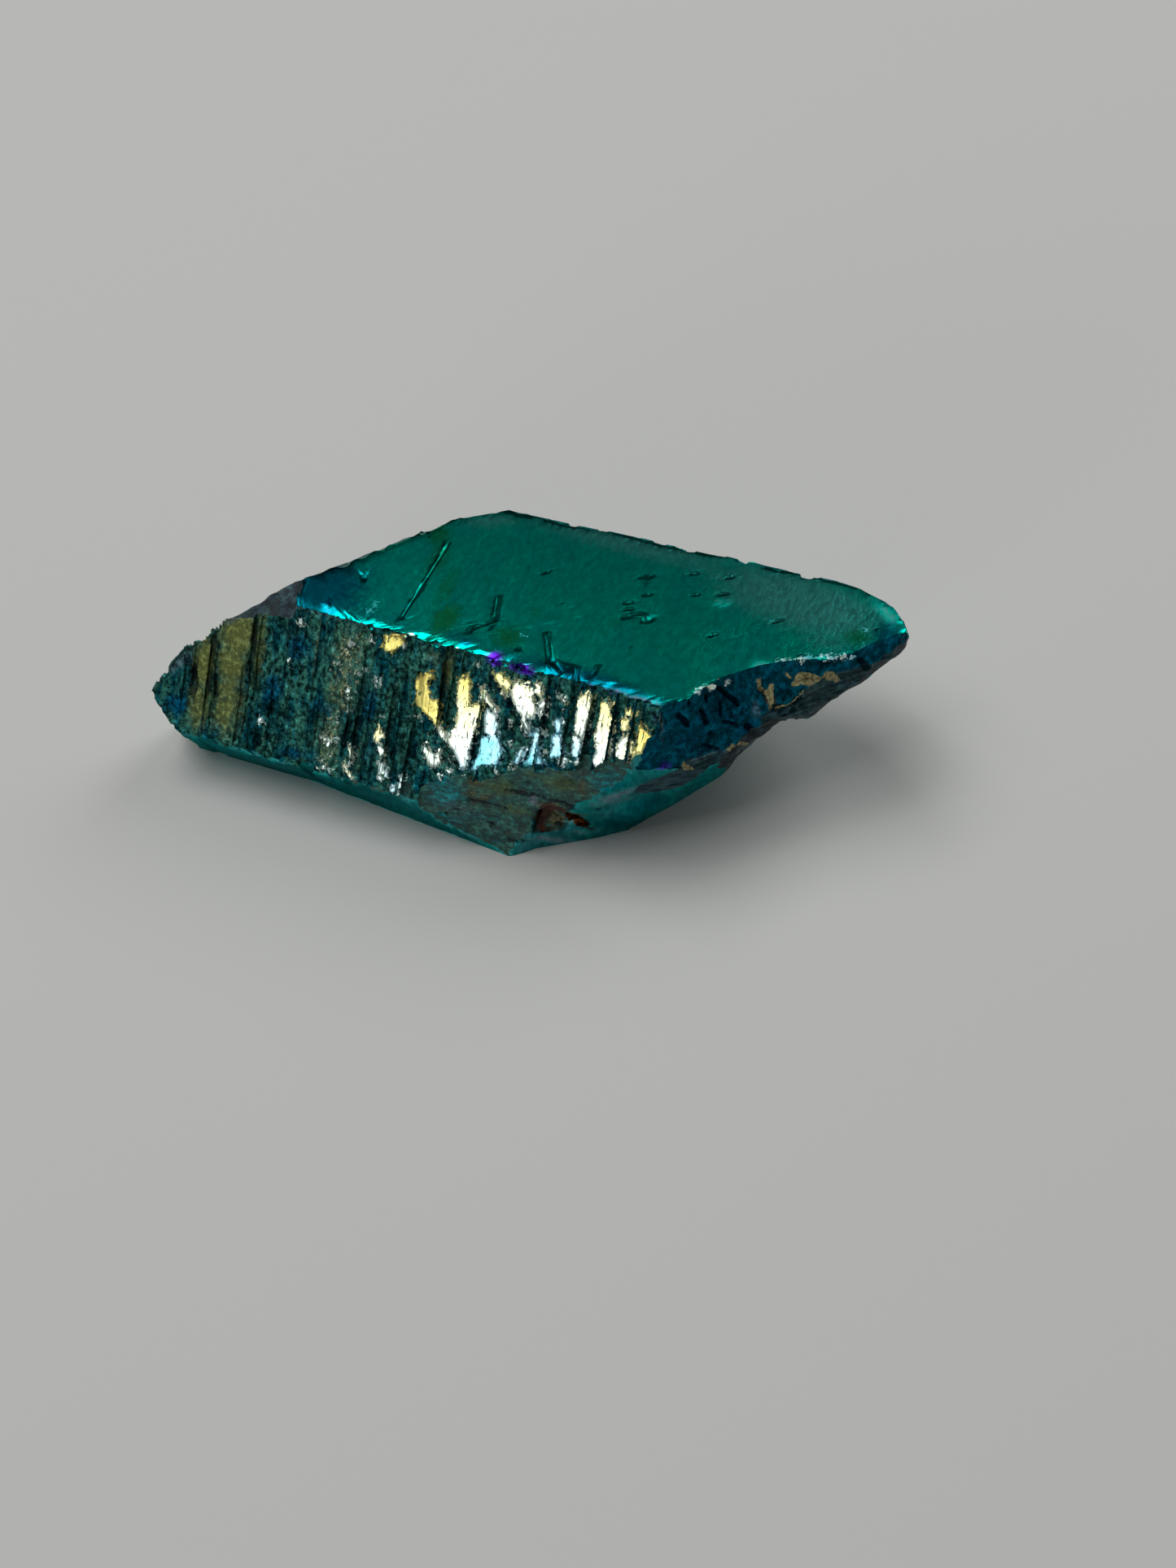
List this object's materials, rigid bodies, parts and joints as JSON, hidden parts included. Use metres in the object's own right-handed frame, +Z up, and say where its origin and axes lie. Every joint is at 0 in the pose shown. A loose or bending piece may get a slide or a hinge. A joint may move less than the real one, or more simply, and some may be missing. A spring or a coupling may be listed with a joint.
{
  "type": "aqua aura quartz point",
  "caption": "Broken natural quartz crystal point with a dark teal iridescent metal coating, lying on a long flat side.",
  "frame": {"origin": "on the surface that the crystal rests on, under the middle of its bounding box", "axes": "+X along the crystal's long axis towards its point, +Z up from the flat face it rests on"},
  "size_m": [0.0424, 0.0202, 0.012],
  "materials": {
    "coated_quartz": "thin iridescent metal film on crystal faces: glossy dark teal and green, with gold, white, cyan and violet on the ledges, and matte where the stone broke"
  },
  "bodies": {
    "root": {"quartz_point": "coated_quartz"}
  },
  "joints": []
}
